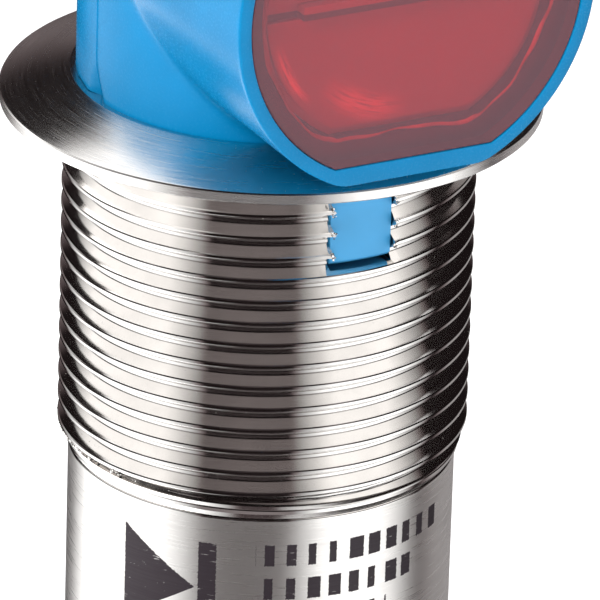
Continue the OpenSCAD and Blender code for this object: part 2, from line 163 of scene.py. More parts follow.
class Graph:
    """A material under construction, with short ways to add nodes."""

    def __init__(self, name, tree=None):
        if tree is None:
            self.material = bpy.data.materials.new(name)
            self.material.use_nodes = True
            tree = self.material.node_tree
            self.shader = tree.nodes["Principled BSDF"]
        self.tree = tree
        self._place = None

    def node(self, kind, **inputs):
        made = self.tree.nodes.new(kind)
        for key, value in inputs.items():
            self.feed(made.inputs[int(key[1:]) if key[0] == "i" and key[1:].isdigit() else key], value)
        return made

    def feed(self, socket, value):
        if isinstance(value, bpy.types.NodeSocket):
            self.tree.links.new(value, socket)
        elif isinstance(value, (tuple, list)) and len(value) == 3 and socket.type == "RGBA":
            socket.default_value = (*value, 1)
        else:
            socket.default_value = value

    def math(self, operation, *values):
        made = self.tree.nodes.new("ShaderNodeMath")
        made.operation = operation
        for socket, value in zip(made.inputs, values):
            self.feed(socket, value)
        return made.outputs[0]

    def times(self, a, b):
        return self.math("MULTIPLY", a, b)

    def plus(self, a, b):
        return self.math("ADD", a, b)

    def minus(self, a, b):
        return self.math("SUBTRACT", a, b)

    def above(self, a, b):
        return self.math("GREATER_THAN", a, b)

    def under(self, a, b):
        return self.math("LESS_THAN", a, b)

    def apart(self, a, b):
        """Distance between two values."""
        return self.math("ABSOLUTE", self.minus(a, b))

    def place(self):
        """The point on the object in mm, as separate X, Y and Z."""
        if self._place is None:
            coords = self.tree.nodes.new("ShaderNodeTexCoord").outputs["Object"]
            scaled = self.tree.nodes.new("ShaderNodeVectorMath")
            scaled.operation = "SCALE"
            self.feed(scaled.inputs[0], coords)
            scaled.inputs["Scale"].default_value = 1 / MM
            split = self.node("ShaderNodeSeparateXYZ", Vector=scaled.outputs[0])
            self._place = (scaled.outputs[0], split.outputs[0], split.outputs[1], split.outputs[2])
        return self._place

    def vector(self, x, y, z):
        return self.node("ShaderNodeCombineXYZ", X=x, Y=y, Z=z).outputs[0]

    def scaled(self, vector, factors):
        made = self.tree.nodes.new("ShaderNodeVectorMath")
        made.operation = "MULTIPLY"
        self.feed(made.inputs[0], vector)
        made.inputs[1].default_value = factors
        return made.outputs[0]

    def noise(self, vector, scale, detail=3.0, rough=0.5):
        made = self.node("ShaderNodeTexNoise", Vector=vector, Scale=scale, Detail=detail, Roughness=rough)
        return made.outputs[0]

    def local(self, *settings):
        """Noise fixed to the object: scale, detail and roughness."""
        return self.noise(self.place()[0], *settings)

    def span(self, value, low, high, to_low=0.0, to_high=1.0):
        made = self.tree.nodes.new("ShaderNodeMapRange")
        keys = ("Value", "From Min", "From Max", "To Min", "To Max")
        for key, item in zip(keys, (value, low, high, to_low, to_high)):
            self.feed(made.inputs[key], item)
        return made.outputs[0]

    def blend(self, factor, first, second):
        made = self.tree.nodes.new("ShaderNodeMix")
        made.data_type = "RGBA"
        self.feed(made.inputs["Factor"], factor)
        self.feed(made.inputs[6], first)
        self.feed(made.inputs[7], second)
        return made.outputs[2]

    def bump(self, height, distance, strength=1.0, normal=None):
        made = self.node("ShaderNodeBump", Height=height, Strength=strength, Distance=distance)
        if normal is not None:
            self.feed(made.inputs["Normal"], normal)
        return made.outputs[0]

    def set(self, **values):
        for key, value in values.items():
            self.feed(self.shader.inputs[key.replace("_", " ")], value)
        return self.material

    def round_coords(self):
        """Angle times radius, height and radius about the barrel's axis, in mm."""
        _, x, y, z = self.place()
        radius = self.math("SQRT", self.plus(self.times(x, x), self.times(y, y)))
        angle = self.math("ARCTAN2", x, self.times(y, -1.0))
        return angle, z, radius


def turned_metal(name, colour, rough, marks=None, finish=None):
    """Turned and plated metal: fine lines round the axis, small pits and a little tarnish.

    finish gives a factor for the roughness and the depth of the lines, from the height z."""
    g = Graph(name)
    angle, z, radius = g.round_coords()
    arc = g.times(angle, radius)
    place = g.place()[0]

    def lines(along, across, detail):
        on_metal = g.vector(g.times(arc, along), g.times(z, across), g.times(radius, across))
        return g.noise(on_metal, 1.0, detail, 0.55)

    streaks, fine = lines(0.35, 16.0, 4.0), lines(1.2, 45.0, 2.0)
    pits = g.span(g.noise(place, 5.0, 4.0, 0.75), 0.66, 0.78)
    cloud = g.noise(place, 0.5, 4.0, 0.6)
    tone = g.blend(g.span(cloud, 0.35, 0.7), colour, [c * 0.93 for c in colour])
    tone = g.blend(g.times(pits, 0.5), tone, [c * 0.6 for c in colour])
    roughness = g.plus(g.span(streaks, 0.3, 0.7, rough * 0.75, rough * 1.3), g.times(pits, 0.1))
    height = g.plus(streaks, g.times(fine, 0.5))
    if finish is not None:
        factor = finish(g, z)
        roughness = g.times(roughness, factor)
        height = g.times(height, factor)
    height = g.minus(height, g.times(pits, 0.4))
    tangent = g.node("ShaderNodeTangent")
    tangent.direction_type = "RADIAL"
    tangent.axis = "Z"
    g.set(Normal=g.bump(height, 0.0012 * MM, 1.0), Metallic=1.0, Anisotropic=0.75, Anisotropic_Rotation=0.25,
          Tangent=tangent.outputs[0])
    if marks is not None:
        mask = marks(g, angle, z)
        tone = g.blend(mask, tone, (0.03, 0.022, 0.028))
        roughness = g.plus(roughness, g.times(mask, 0.3))
        rim = g.times(g.above(z, FLANGE_FROM), g.under(z, FLANGE_EDGE - EDGE_BREAK))
        matt = g.plus(g.times(g.under(z, PLAIN_HIGH), PLAIN_MATT), g.times(rim, RIM_MATT))
        g.set(Metallic=g.minus(g.minus(1.0, matt), g.times(mask, 0.65)))
    return g.set(Base_Color=tone, Roughness=roughness)


def barrel_finish(g, z):
    """The thread is smooth and bright, the flange and the plain end are satin."""
    flange = g.times(g.above(z, FLANGE_FROM), FLANGE_SATIN - 1)
    plain = g.times(g.under(z, PLAIN_HIGH), PLAIN_SATIN - 1)
    return g.plus(g.plus(flange, plain), 1.0)


def plastic(name, colour, rough=0.3, grain=0.35, shine=0.5):
    """Moulded plastic: slightly uneven gloss and colour, with a very fine grain."""
    g = Graph(name)
    place = g.place()[0]
    cloud = g.noise(place, 0.35, 3.0, 0.5)
    grain_noise = g.noise(place, 9.0, 3.0, 0.6)
    tone = g.blend(g.span(cloud, 0.35, 0.65), colour, [c * 0.9 for c in colour])
    roughness = g.span(grain_noise, 0.3, 0.7, rough * 0.85, rough * 1.15)
    height = g.plus(g.times(grain_noise, 0.4), cloud)
    g.set(Specular_IOR_Level=shine)
    return g.set(Base_Color=tone, Roughness=roughness, Normal=g.bump(height, 0.004 * MM, grain))


# ---- mesh building ----


class Shape:
    """Points in mm and faces with a material number, which become one welded mesh."""

    def __init__(self):
        self.points = []
        self.faces = []
        self.marks = []

    def grid(self, rows, mark=0, wrap=False, skip=None):
        """Quads between rows of points. wrap joins each row's last point to its first."""
        start, width = len(self.points), len(rows[0])
        for row in rows:
            self.points.extend(row)
        for i in range(len(rows) - 1):
            for j in range(width if wrap else width - 1):
                if skip is not None and skip(i, j):
                    continue
                a, b = start + i * width + j, start + i * width + (j + 1) % width
                self.faces.append((a, b, b + width, a + width))
                self.marks.append(mark)

    def fill(self, loops, lift, mark=0):
        """A flat face inside the first loop of (u, v) points and outside the others.

        lift makes the 3-D point."""
        flat, edges = [], []
        for loop in loops:
            start = len(flat)
            flat.extend(Vector(p) for p in loop)
            edges.extend((start + k, start + (k + 1) % len(loop)) for k in range(len(loop)))
        result = geometry.delaunay_2d_cdt(flat, edges, [], 0, 1e-7)
        start = len(self.points)
        self.points.extend(lift(p.x, p.y) for p in result[0])
        for face in result[2]:
            centre = sum((result[0][k] for k in face), Vector((0, 0))) / len(face)
            if inside(centre, loops[0]) and not any(inside(centre, hole) for hole in loops[1:]):
                self.faces.append(tuple(start + k for k in face))
                self.marks.append(mark)

    def build(self, name, materials, body, replaced=(), sharp=32.0, weld=0.002):
        mesh = bpy.data.meshes.new(name)
        mesh.from_pydata([tuple(c * MM for c in p) for p in self.points], [], self.faces)
        for polygon, mark in zip(mesh.polygons, self.marks):
            polygon.material_index = mark
        work = bmesh.new()
        work.from_mesh(mesh)
        bmesh.ops.remove_doubles(work, verts=work.verts, dist=weld * MM)
        bmesh.ops.dissolve_degenerate(work, edges=work.edges, dist=weld * MM / 4)
        bmesh.ops.recalc_face_normals(work, faces=work.faces)
        work.to_mesh(mesh)
        work.free()
        for item in materials:
            mesh.materials.append(item)
        mesh.shade_smooth()
        mesh.set_sharp_from_angle(angle=radians(sharp))
        made = bpy.data.objects.new(name, mesh)
        link(made)
        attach(made, body)
        if replaced:
            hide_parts(*replaced)
        return made


def link(made):
    """Puts an object in the scene."""
    bpy.context.scene.collection.objects.link(made)


def inside(point, loop):
    """True if a 2-D point is inside a closed loop."""
    hit = False
    for k, (ax, ay) in enumerate(loop):
        bx, by = loop[k - 1]
        if (ay > point[1]) != (by > point[1]) and point[0] < (bx - ax) * (point[1] - ay) / (by - ay) + ax:
            hit = not hit
    return hit


def circle(cx, cy, r, count=48):
    """Points of a circle, as (u, v)."""
    angles = [tau * k / count for k in range(count)]
    return [(cx + r * cos(a), cy + r * sin(a)) for a in angles]


def spun(profile, count=128):
    """Rows of points round the Z axis, one row for each (radius, height)."""
    return [[(x, y, z) for x, y in circle(0, 0, r, count)] for r, z in profile]


def lathe(name, profile, material, replaced=(), body=BODY, count=128, sharp=32.0):
    """A closed solid of revolution about the Z axis."""
    shape = Shape()
    shape.grid(spun(list(profile) + [profile[0]], count), wrap=True)
    return shape.build(name, [material], body, replaced, sharp)


def along_y(profile, cx, cz, count=64):
    """Rows of points round a line along Y through (cx, cz), one row for each (radius, y)."""
    return [[(x, y, z) for x, z in circle(cx, cz, r, count)] for r, y in profile]


# ---- threads ----


# The thread's profile: distance below a crest's lower edge, and depth below the crest
THREAD_STOPS = [(0.0, 0.012), (0.02, 0.045), (FLANK_H - 0.02, DEPTH - 0.03), (FLANK_H + 0.02, DEPTH),
                (FLANK_H + FLAT - 0.02, DEPTH), (FLANK_H + FLAT + 0.02, DEPTH - 0.03),
                (PITCH - FLAT - 0.03, 0.045), (PITCH - FLAT + 0.02, 0.004), (PITCH - FLAT + 0.045, 0.0),
                (PITCH - 0.02, 0.0), (PITCH, 0.012)]
THREAD_DROPS = sorted([drop for drop, _ in THREAD_STOPS[:-1]] + [0.13, 0.67])


def thread_depth_at(u, first_low):
    """How far the thread's surface lies below its crest at height u of the unrolled helix."""
    drop = (first_low - u) % PITCH
    for (u0, d0), (u1, d1) in zip(THREAD_STOPS, THREAD_STOPS[1:]):
        if u0 <= drop <= u1:
            return d0 + (d1 - d0) * (drop - u0) / (u1 - u0)
    return 0.0


def slot_columns(r, outer=130, inner=8):
    """Angles round the barrel from the slot's middle, with columns on the slot's two edges at radius r."""
    half = asin(SLOT_HALF / r)
    left = [-pi + (pi - half) * k / outer for k in range(outer)]
    middle = [-half + 2 * half * k / inner for k in range(inner + 1)]
    right = [half + (pi - half) * k / outer for k in range(1, outer + 1)]
    return left + middle + right, outer, outer + inner


def around(a, r, z):
    """The point at angle a from the -Y direction."""
    return (r * sin(a), -r * cos(a), z)


def burr(shape, at, size, mark):
    """A torn flake of metal: a small irregular lump."""
    rings, spokes = 4, 6
    stretch = (RNG.uniform(0.5, 1.0), RNG.uniform(0.5, 1.0), RNG.uniform(0.35, 0.8))
    rows = []
    for i in range(rings + 1):
        lift = pi * i / rings
        row = []
        for j in range(spokes):
            turn = tau * j / spokes
            r = size * (RNG.uniform(0.6, 1.25) if 0 < i < rings else 1.0)
            row.append((at[0] + stretch[0] * r * sin(lift) * cos(turn),
                        at[1] + stretch[1] * r * sin(lift) * sin(turn),
                        at[2] + stretch[2] * r * cos(lift)))
        rows.append(row)
    shape.grid(rows, mark, wrap=True)


def ragged(u, v):
    """A repeatable jagged value from 0 to 1."""
    s = sin(u * 12.9898 + v * 78.233) * 43758.5453
    base = s - floor(s)
    slow = 0.5 + 0.5 * sin(u * 1.7 + 2.1 * sin(v * 0.9))
    return 0.6 * base + 0.4 * slow


def helix_rise(a):
    """Rise of the helix at angle a, timed so that a crest's lower edge faces the camera."""
    return PITCH * (a - CAMERA_TURN) / tau


def run_out_r(z):
    """Radius that the cone of the run-out leaves at height z."""
    share = (z - RUN_OUT_TOP) / (RUN_OUT_LOW - RUN_OUT_TOP)
    return CREST_R + (RELIEF_R - CREST_R) * min(1.0, max(0.0, share))


def thread_row(u):
    """The turn at height u of the unrolled helix: lists of angle, radius and height."""
    angles, left, right = slot_columns(CREST_R - thread_depth_at(u, FIRST_LOW))
    row = []
    for a in angles:
        rise = helix_rise(a)
        z = min(0.0, max(RUN_OUT_LOW, u + rise))
        r = min(CREST_R - thread_depth_at(z - rise, FIRST_LOW), run_out_r(z))
        if z > RUN_OUT_LOW + 0.05:
            r -= max(0.0, min(1.0, (RUN_OUT_TOP + 0.15 - z) * 4)) * 0.008 * ragged(a * 140, z * 40)
        row.append([a, r, z])
    for j, side in ((left, -1), (right, 1)):
        a, r, z = row[j]
        if SLOT_BOTTOM < z < SLOT_TOP:
            crest = max(0.0, 1 - (CREST_R - r) / 0.3)
            torn = ragged(z * 9 + j, j * 1.7) * (0.05 + 0.09 * crest)
            row[j] = [a - side * torn / r, r + crest * 0.03 * ragged(z * 13, j), z - 0.03 * crest]
    return row, left, right


def thread_rows():
    """The thread's rows, the first and last of them beside the slot, and the slot's edge columns."""
    rows, beside_slot = [], []
    for k in range(int((0.6 - RUN_OUT_LOW) / PITCH) + 2):
        for drop in THREAD_DROPS:
            row, left, right = thread_row(FIRST_LOW + PITCH - k * PITCH - drop)
            rows.append(row)
            middle = row[(left + right) // 2][2]
            beside_slot.append(SLOT_BOTTOM - 0.04 < middle < SLOT_TOP + 0.04)
    first, last = beside_slot.index(True), len(rows) - 1 - beside_slot[::-1].index(True)
    for i, level in ((first, SLOT_TOP), (last, SLOT_BOTTOM)):
        for j in range(left, right + 1):
            rows[i][j][2] = level
    return rows, first, last, left, right


def slot_walls(shape, points, first, last, left, right):
    """Walls, floor and roof of the key slot."""
    for j, side in ((left, -1), (right, 1)):
        strip = []
        for x, y, z in (points[i][j] for i in range(first, last + 1)):
            strip.append([(x, y, z), (side * SLOT_HALF, y + 0.35, z),
                          (side * SLOT_HALF, -sqrt(BORE_R ** 2 - SLOT_HALF ** 2), z)])
        shape.grid(strip)
    bore_angles = slot_columns(BORE_R)[0]
    columns = range(left, right + 1)
    for i, level in ((first, SLOT_TOP), (last, SLOT_BOTTOM)):
        inner_arc = [around(bore_angles[j], BORE_R, level) for j in columns]
        shape.grid([[points[i][j] for j in columns], inner_arc])


def sleeve_ring(r, z):
    """A ring with the thread's columns."""
    return [around(a, r, z) for a in slot_columns(r)[0]]


def flange_and_bore(shape, top_row, left, right):
    """The flange, and the bore, which is open where the slot breaks through."""
    profile = ((FLANGE_R - 0.08, 0), (FLANGE_R, 0.07), (FLANGE_R, FLANGE_EDGE - EDGE_BREAK),
               (FLANGE_R - EDGE_BREAK * 0.35, FLANGE_EDGE - EDGE_BREAK * 0.3),
               (FLANGE_R - EDGE_BREAK, FLANGE_EDGE), (FLANGE_R - 1.5, FLANGE_EDGE + 1.4 * 0.283),
               (HEAD_R + 0.25, FLANGE_TOP), (BORE_R, FLANGE_TOP), (BORE_R, SLOT_TOP),
               (BORE_R, SLOT_BOTTOM), (BORE_R, SLEEVE_LOW.z))
    open_row = profile.index((BORE_R, SLOT_TOP)) + 1
    shape.grid([top_row] + [sleeve_ring(r, z) for r, z in profile],
               skip=lambda i, j: i == open_row and left <= j < right)


def plain_end(shape, low_row):
    """The undercut below the run-out with its turned lines, the plain part and its chamfer."""
    steps = ((0.0, 0.0), (0.13, 0.23), (0.11, 0.28), (0.12, 0.43), (0.29, 0.72), (0.33, 0.75), (0.27, 0.79))
    profile = [(RELIEF_R - cut, RUN_OUT_LOW - drop) for cut, drop in steps]
    profile += [(PLAIN_R, SLEEVE_LOW.z + 0.35), (PLAIN_R - 0.06, SLEEVE_LOW.z + 0.2),
                (PLAIN_R - 0.26, SLEEVE_LOW.z), (BORE_R, SLEEVE_LOW.z)]
    shape.grid([low_row] + [sleeve_ring(r, z) for r, z in profile])


def slot_burrs(shape, rows, points, span, edges):
    """Torn flakes where the mill broke through the thread's crests: two tries for each row."""
    near_crest, chance = 0.25, 0.6
    for j, side in zip(edges, (-1, 1)):
        for i in range(*span):
            for _ in range(2):
                if CREST_R - rows[i][j][1] < near_crest and RNG.random() < chance:
                    x, y, z = points[i][j]
                    burr(shape, (x + side * RNG.uniform(-0.03, 0.14), y - RNG.uniform(-0.08, 0.03),
                                 z + RNG.uniform(-0.1, 0.1)), RNG.uniform(0.04, 0.11), 0)


def specks(shape, count=260):
    """Fine specks on the thread, denser towards its lower end."""
    for _ in range(count):
        a = RNG.uniform(-pi, pi)
        z = RNG.uniform(RUN_OUT_LOW, SPECKS_BELOW) if RNG.random() < 0.5 else RNG.gauss(-THREAD_LEN, 1.6)
        depth = thread_depth_at(z - helix_rise(a), FIRST_LOW)
        if RUN_OUT_TOP < z < SPECKS_BELOW and abs(a) > 0.2:
            burr(shape, around(a, CREST_R - depth, z), RNG.uniform(0.012, 0.032), 0)


def crumbs(shape, count=560):
    """Crumbs on the run-out. Every fourth lies in a heap at the left as the camera sees it."""
    heap_at = CAMERA_TURN - pi / 2 + 0.16
    for k in range(count):
        heap = k % 4 == 0
        a = RNG.gauss(heap_at, 0.15) if heap else RNG.uniform(-pi, pi)
        z = RNG.uniform(RUN_OUT_LOW + CRUMB_ZONE, RUN_OUT_TOP + CRUMB_ZONE)
        if heap or thread_depth_at(z - helix_rise(a), FIRST_LOW) < 0.3:
            size = RNG.uniform(0.06, 0.12) if heap else RNG.uniform(0.02, 0.055)
            burr(shape, around(a, run_out_r(z) - size * 0.75, z), size, 0)


def sleeve(metal):
    """The threaded barrel with its flange, key slot, helical thread, run-out and plain end."""
    shape = Shape()
    rows, first, last, left, right = thread_rows()
    points = [[around(*p) for p in row] for row in rows]
    shape.grid(points, skip=lambda i, j: first <= i < last and left <= j < right)
    slot_walls(shape, points, first, last, left, right)
    flange_and_bore(shape, points[0], left, right)
    plain_end(shape, points[-1])
    slot_burrs(shape, rows, points, (first, last), (left, right))
    specks(shape)
    crumbs(shape)
    return shape.build("barrel", [metal], BODY, ["threaded_sleeve"], sharp=14.0, weld=0.0008)


# ---- head ----


def flat_outline(r, low, corner=0.0, arc=72, bend=8, flat=8):
    """Right half of a circle about the optical axis with a flat lower edge.

    It runs from the top down to the middle below."""
    h = AXIS_Z - low
    if corner > 0:
        cx = sqrt((r - corner) ** 2 - (h - corner) ** 2)
        end = atan2(corner - h, cx)
    else:
        cx = sqrt(r * r - h * h)
        end = atan2(-h, cx)
    points = []
    for k in range(arc + 1):
        a = pi / 2 + (end - pi / 2) * k / arc
        points.append((r * cos(a), AXIS_Z + r * sin(a)))
    for k in range(1, bend + 1):
        if corner > 0:
            a = end + (-pi / 2 - end) * k / bend
            points.append((cx + corner * cos(a), low + corner + corner * sin(a)))
        else:
            points.append((cx - 0.4 * k / bend, low))
    edge = points[-1][0]
    points += [(edge * (1 - k / flat), low) for k in range(1, flat + 1)]
    return points, arc + bend


def both_sides(half):
    """The whole closed outline from its right half."""
    return half + [(-x, z) for x, z in half[-2:0:-1]]


def smooth_max(a, b, k):
    """The larger value, rounded over where the two are within k."""
    if k <= 0:
        return max(a, b)
    h = max(k - abs(a - b), 0.0) / k
    return max(a, b) + h * h * k / 4


def corner_chip(y, z):
    """Depth of the small bevel at the lower end of the parting line."""
    return max(0.0, 0.34 * (1 - abs(y) / 0.75 - (z - BASE_Z) / 1.7))


def front_row(half, fixed, y, inset=0.0):
    """The head's outline at distance y along the optical axis: the drum joined with the upright part."""
    out = []
    for k, (dx, z) in enumerate(half):
        rise = max(0.0, z - AXIS_Z)
        across = HEAD_R ** 2 - y * y - rise * rise
        if k <= fixed and across > 0:
            upright = sqrt(across)
            turn = (1 - min(1.0, abs(y) / HEAD_R) ** 2) ** 0.5 * min(1.0, abs(dx) / DRUM_R)
            x = smooth_max(dx, upright, 1.1 * (1 - turn) if z < AXIS_Z else 0.0)
        else:
            x = dx
        out.append([x, z])
    edge = out[fixed][0]
    for k in range(fixed + 1, len(half)):
        out[k][0] = edge * half[k][0] / half[fixed][0]
    if inset:
        shrink = 1 - inset / HEAD_R
        out = [[x * shrink, AXIS_Z + (z - AXIS_Z) * shrink if z > BASE_Z else z] for x, z in out]
    for point in out[:fixed + 1]:
        if point[1] < BASE_Z + 2:
            point[0] -= corner_chip(y, point[1])
    return [(x, z) for x, z in out]


def at_y(outline, y):
    return [(x, y, z) for x, z in both_sides(outline)]


def head_front(blue):
    """The front moulding: lens drum, front half of the upright part, window seat and room inside."""
    shape = Shape()
    half, fixed = flat_outline(DRUM_R, BASE_Z, DRUM_CORNER)
    edge = 0.14
    rows = [at_y(front_row(half, fixed, 0.0, 0.06), 0.0), at_y(front_row(half, fixed, -0.05, 0.015), -0.05)]
    steps = 84
    start, end = -0.12, FACE_Y + edge
    for k in range(steps + 1):
        y = start + (end - start) * k / steps
        rows.append(at_y(front_row(half, fixed, y), y))
    for a in (30, 60, 90):
        shrink = edge * (1 - cos(radians(a)))
        outline, _ = flat_outline(DRUM_R - shrink, BASE_Z + shrink, DRUM_CORNER - shrink)
        rows.append(at_y(outline, FACE_Y + edge * (1 - sin(radians(a)))))
    seat = [(0.1, 0.0), (0.05, 0.012), (0.03, 0.05)]
    for grow, back in seat:
        rows.append(at_y(flat_outline(WINDOW_R + grow, WINDOW_FLAT - grow)[0], FACE_Y + back))
    rows.append(at_y(flat_outline(WINDOW_R + 0.03, WINDOW_FLAT - 0.03)[0], LEDGE_Y))
    for shrink, back in ((0.06, 0.0), (0.0, 0.06)):
        rows.append(at_y(flat_outline(CLEAR_R + shrink, CLEAR_FLAT - shrink, 1.2)[0], LEDGE_Y + back))
    rows.append(at_y(flat_outline(CLEAR_R, CLEAR_FLAT, 1.2)[0], LEDGE_Y + LEDGE_T))
    room, _ = flat_outline(DRUM_R - SHELL_T, BASE_Z + SHELL_T, 1.2)
    rows += [at_y(room, LEDGE_Y + LEDGE_T), at_y(room, 0.0)]
    rows.append(rows[0])
    shape.grid(rows, wrap=True)
    return shape.build("head_shell", [blue], BODY, ["head_housing"], sharp=28.0)


def head_spigot(blue):
    """The head's spigot in the barrel and its snap tab, which shows in the key slot."""
    shape = Shape()
    inner_r, top = 6.0, BASE_Z + 1.1
    shape.grid(spun([(inner_r, SPIGOT_LOW), (SPIGOT_R, SPIGOT_LOW), (SPIGOT_R, top), (inner_r, top),
                     (inner_r, SPIGOT_LOW)]), wrap=True)
    tab_half, tab_low, tab_high, tab_r = 1.44, SLOT_BOTTOM + 0.2, -0.6, CREST_R - 0.38
    inner_y = -SPIGOT_R + 0.02

    def section(half, r, z):
        arc = [(x, -sqrt(r * r - x ** 2), z) for x in (half * (-1 + 2 * k / 12) for k in range(13))]
        return [(-half, inner_y, z)] + arc + [(half, inner_y, z)]

    edge = 0.12
    rows = [section(tab_half - edge, tab_r - edge * 3, tab_low),
            section(tab_half - edge * 0.3, tab_r - edge, tab_low + edge * 0.3),
            section(tab_half, tab_r, tab_low + edge * 1.4), section(tab_half, tab_r, tab_high)]
    ends = [[[(0, inner_y, z)] * len(rows[0])] for z in (tab_low, tab_high)]
    shape.grid(ends[0] + rows + ends[1], wrap=True)
    return shape.build("head_spigot", [blue], BODY, sharp=40.0)


def farthest(top, tries, fits):
    """The largest distance up to top that fits, found by halving."""
    best = 0.0
    for _ in range(tries):
        mid = (best + top) / 2
        if fits(mid):
            best = mid
        else:
            top = mid
    return best


def panel_reach(dx, dz, centre_z):
    """Distance from the panel's centre to its outline in direction (dx, dz)."""
    low, high = PANEL_LOW - centre_z, PANEL_HIGH - centre_z

    def fits(mid):
        x, z = abs(dx * mid), dz * mid
        qx = x - (PANEL_HALF - PANEL_ROUND)
        qz = max(z - (high - PANEL_ROUND), (low + PANEL_ROUND) - z)
        outside = hypot(max(qx, 0), max(qz, 0)) + min(max(qx, qz), 0) - PANEL_ROUND
        rise = max(0.0, centre_z + z - AXIS_Z)
        return outside < 0 and HEAD_R ** 2 - x * x - rise * rise > (PANEL_Y + 0.005) ** 2

    return farthest(12.0, 40, fits)


def dome_y(x, z):
    """Depth of the upright part's surface at (x, z)."""
    rise = max(0.0, z - AXIS_Z)
    return sqrt(max(0.0, HEAD_R * HEAD_R - x * x - rise * rise))


def dome_reach(dx, dz, centre_z):
    """Distance from the panel's centre to the parting line or the base in direction (dx, dz)."""
    def fits(mid):
        x, z = dx * mid, centre_z + dz * mid
        return z > BASE_Z and x * x + max(0.0, z - AXIS_Z) ** 2 < HEAD_R ** 2

    return farthest(30.0, 50, fits)


def cover_rays(centre_z):
    """Directions from the panel's centre, with the distances to the panel's and the cover's outline."""
    corner = atan2(BASE_Z - centre_z, HEAD_R)
    angles = sorted([corner, -pi - corner] + [-pi + tau * k / 192 for k in range(192)])
    aims = [(cos(a), sin(a)) for a in angles]
    return [(dx, dz, panel_reach(dx, dz, centre_z), dome_reach(dx, dz, centre_z)) for dx, dz in aims]


def panel_edge_rows(ring):
    """Rows from the sunk panel over its wall to the dome: distance beyond the panel, and depth."""
    sunk, wall = PANEL_Y + 0.12, 0.12
    steps = ((-0.12, lambda x, z: PANEL_Y), (-0.03, lambda x, z: min(PANEL_Y + 0.03, dome_y(x, z))),
             (0.0, lambda x, z: min(sunk, dome_y(x, z))),
             (0.005, lambda x, z: max(min(sunk, dome_y(x, z)), dome_y(x, z) - wall)),
             (0.04, lambda x, z: dome_y(x, z) - 0.035), (DOME_FROM, dome_y))
    return [ring(lambda near, far, beyond=beyond: near + beyond, depth) for beyond, depth in steps]


def cover_rows():
    """Outer rows of the rear moulding from the panel to the parting line."""
    centre_z = (PANEL_LOW + PANEL_HIGH) / 2
    rays = cover_rays(centre_z)

    def ring(pick, depth):
        out = []
        for dx, dz, near, far in rays:
            d = pick(near, far)
            x, z = dx * d, centre_z + dz * d
            out.append((x, depth(x, z), z))
        return out

    rows = panel_edge_rows(ring)
    steps = 46
    for k in range(1, steps + 1):
        share = sin(pi / 2 * k / steps)
        last = k == steps

        def depth(x, z, last=last):
            return 0.0 if last and z > BASE_Z + 0.01 else dome_y(x, z)

        rows.append(ring(lambda n, f, s=share: n + DOME_FROM + (f - n - DOME_FROM) * s, depth))
    # a small groove along the parting line
    edge = rows[-1]
    rows[-1] = [(x, max(y, 0.055), z) for x, y, z in edge]
    shrink = 1 - 0.06 / HEAD_R
    rows.append([(x * shrink, y, AXIS_Z + (z - AXIS_Z) * (shrink if z > BASE_Z + 0.01 else 1))
                 for x, y, z in edge])
    return rows


def chipped(x, y, z):
    """The point moved in by the bevel at the lower end of the parting line."""
    return (x - copysign(corner_chip(y, z), x) if abs(x) > 6 and z < BASE_Z + 2 else x, y, z)


def panel_holes(grow_screw, grow_guide):
    """Centre and radius of the panel's three holes."""
    guide_r = GUIDE_R + grow_guide
    return [(0, ADJUSTER_Z, ADJUSTER_R + grow_screw)] + [(cx, GUIDE_Z, guide_r) for cx in (-GUIDE_X, GUIDE_X)]


def rear_cover(blue):
    """The rear moulding: half of the upright part with its dome, and the sunk panel with three holes."""
    shape = Shape()
    outer = [[chipped(*point) for point in row] for row in cover_rows()]
    inner = (HEAD_R - SHELL_T) / HEAD_R
    back = []
    for row in outer[5:][::-1]:
        back.append([(x * inner, y * inner, AXIS_Z + (z - AXIS_Z) * inner if z > AXIS_Z else z)
                     for x, y, z in row])
    shape.grid(outer + back, wrap=True)
    rims = [circle(*hole) for hole in panel_holes(0.16, 0.15)]
    shape.fill([[(p[0], p[2]) for p in outer[0]]] + rims, lambda u, v: (u, PANEL_Y, v))
    shape.grid([back[-1], [(p[0], PANEL_INNER_Y, p[2]) for p in back[-1]]], wrap=True)
    through = panel_holes(0.05, 0.04)
    shape.fill([[(p[0], p[2]) for p in back[-1]]] + [circle(*hole) for hole in through],
               lambda u, v: (u, PANEL_INNER_Y, v))
    for cx, cz, r in through:
        wall = [(r + 0.11, PANEL_Y), (r + 0.03, PANEL_Y - 0.03), (r, PANEL_Y - 0.11), (r, PANEL_INNER_Y)]
        shape.grid(along_y(wall, cx, cz, 48), wrap=True)
    return shape.build("rear_moulding", [blue], BODY, ["head_rear_cover"], sharp=28.0)


def window_plate(red):
    """The front window: a flat plate with a straight lower edge and slightly broken edges."""
    shape = Shape()
    edge = 0.03

    def outline(shrink, y):
        return at_y(flat_outline(WINDOW_R - shrink, WINDOW_FLAT + shrink)[0], y)

    steps = ((edge, WINDOW_FRONT), (0, WINDOW_FRONT + edge), (0, WINDOW_BACK - edge), (edge, WINDOW_BACK))
    shape.grid([outline(shrink, y) for shrink, y in steps], wrap=True)
    face = both_sides(flat_outline(WINDOW_R - edge, WINDOW_FLAT + edge)[0])
    for y in (WINDOW_FRONT, WINDOW_BACK):
        shape.fill([face], lambda u, v, y=y: (u, y, v))
    return shape.build("window_plate", [red], BODY, ["front_window"], sharp=30.0)


